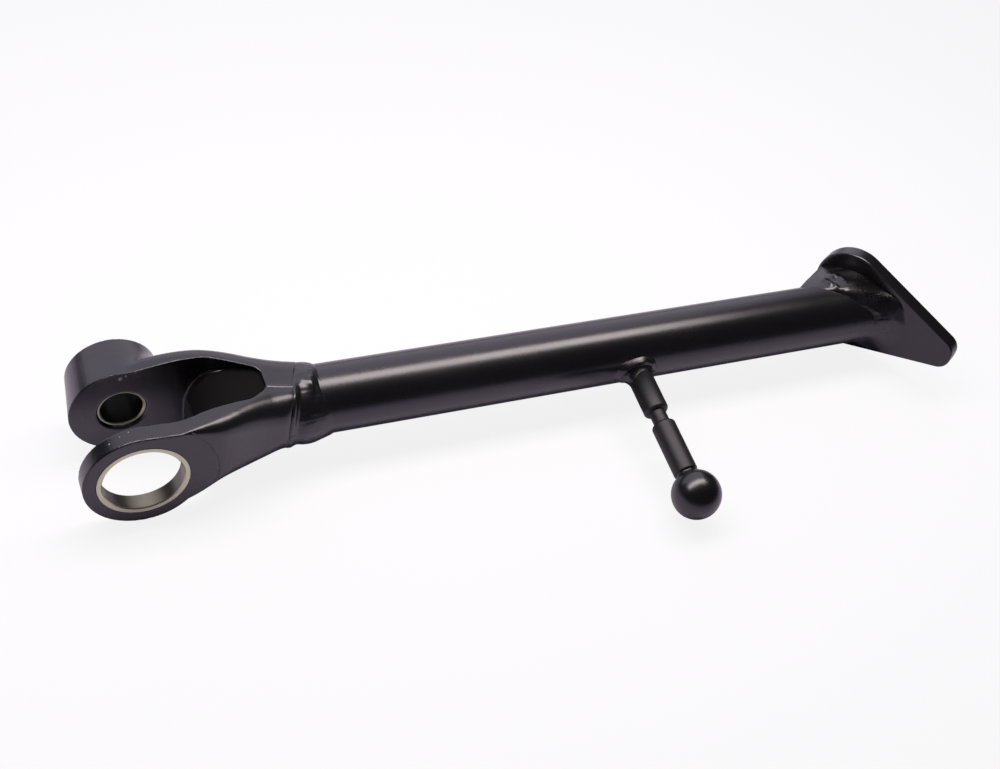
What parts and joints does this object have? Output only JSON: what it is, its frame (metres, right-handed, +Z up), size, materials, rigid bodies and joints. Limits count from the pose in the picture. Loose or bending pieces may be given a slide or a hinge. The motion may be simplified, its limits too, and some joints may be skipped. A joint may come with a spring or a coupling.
{
  "type": "side stand leg",
  "caption": "Motorcycle side stand leg: forked pivot head with two bushed eyes, round tube, ball-ended spring peg and a tilted foot plate.",
  "frame": {"origin": "on the pivot axis, where the leg's own axis crosses it", "axes": "+X along the leg to the foot, +Y along the pivot axis from the large eye to the small eye, +Z up as the leg lies on a bench"},
  "size_m": [0.3828, 0.1166, 0.0492],
  "materials": {
    "coated_steel": "satin black powder coat",
    "bush_steel": "turned steel, satin"
  },
  "bodies": {
    "root": {"fork_head": "coated_steel", "large_bush": "bush_steel", "small_bush": "bush_steel", "leg_tube": "coated_steel", "head_weld": "coated_steel", "foot_plate": "coated_steel", "foot_weld": "coated_steel", "spring_peg": "coated_steel", "peg_weld": "coated_steel"}
  },
  "joints": []
}
